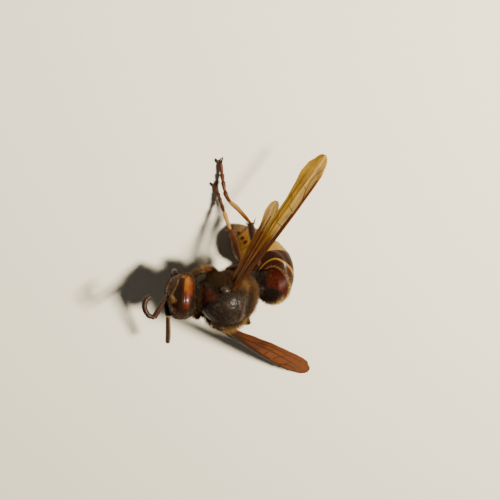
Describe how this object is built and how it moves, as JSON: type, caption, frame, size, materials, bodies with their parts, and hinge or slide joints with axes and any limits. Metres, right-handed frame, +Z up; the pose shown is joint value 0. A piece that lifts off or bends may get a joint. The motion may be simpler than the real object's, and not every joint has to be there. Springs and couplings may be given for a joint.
{
  "type": "european hornet model",
  "caption": "Life-size hornet resting on its toes and tip: head low, body curled down and to one side, folded amber wings held out behind.",
  "frame": {"origin": "middle of the bounding box's base, on the floor that the feet and the gaster rest on", "axes": "+X the way the head points, +Y the insect's left, +Z up"},
  "size_m": [0.022, 0.0338, 0.0111],
  "materials": {
    "thorax_cuticle": "smooth dark red-brown chitin with fine tan hair",
    "head_cuticle": "satin orange and red-brown chitin",
    "eyes": "glossy dark brown facets",
    "mandibles": "hard red-brown chitin with black teeth",
    "antennae": "matte jointed chitin, orange below and brown above",
    "gaster_cuticle": "satin chitin banded yellow and dark brown",
    "wings": "thin translucent amber membrane on red-brown veins",
    "legs": "satin red-brown chitin with short hair",
    "feet": "pale tan to reddish chitin with short hair"
  },
  "bodies": {
    "root": {"thorax": "thorax_cuticle", "head": "head_cuticle", "eye_left": "eyes", "eye_right": "eyes", "mandible_left": "mandibles", "mandible_right": "mandibles", "scape_right": "antennae", "scape_left": "antennae", "flagellum_right": "antennae", "flagellum_left": "antennae", "gaster_1": "gaster_cuticle", "gaster_2": "gaster_cuticle", "gaster_3": "gaster_cuticle", "gaster_4": "gaster_cuticle", "gaster_5": "gaster_cuticle", "gaster_6": "gaster_cuticle", "tegula_right": "thorax_cuticle", "tegula_left": "thorax_cuticle", "forewing_right": "wings", "forewing_left": "wings", "hindwing_right": "wings", "hindwing_left": "wings", "coxa_front_right": "legs", "femur_front_right": "legs", "tibia_front_right": "legs", "tarsus_front_right": "feet", "coxa_front_left": "legs", "femur_front_left": "legs", "tibia_front_left": "legs", "tarsus_front_left": "feet", "coxa_mid_right": "legs", "femur_mid_right": "legs", "tibia_mid_right": "legs", "tarsus_mid_right": "feet", "coxa_mid_left": "legs", "femur_mid_left": "legs", "tibia_mid_left": "legs", "tarsus_mid_left": "feet", "coxa_hind_right": "legs", "femur_hind_right": "legs", "tibia_hind_right": "legs", "tarsus_hind_right": "feet", "coxa_hind_left": "legs", "femur_hind_left": "legs", "tibia_hind_left": "legs", "tarsus_hind_left": "feet"}
  },
  "joints": []
}
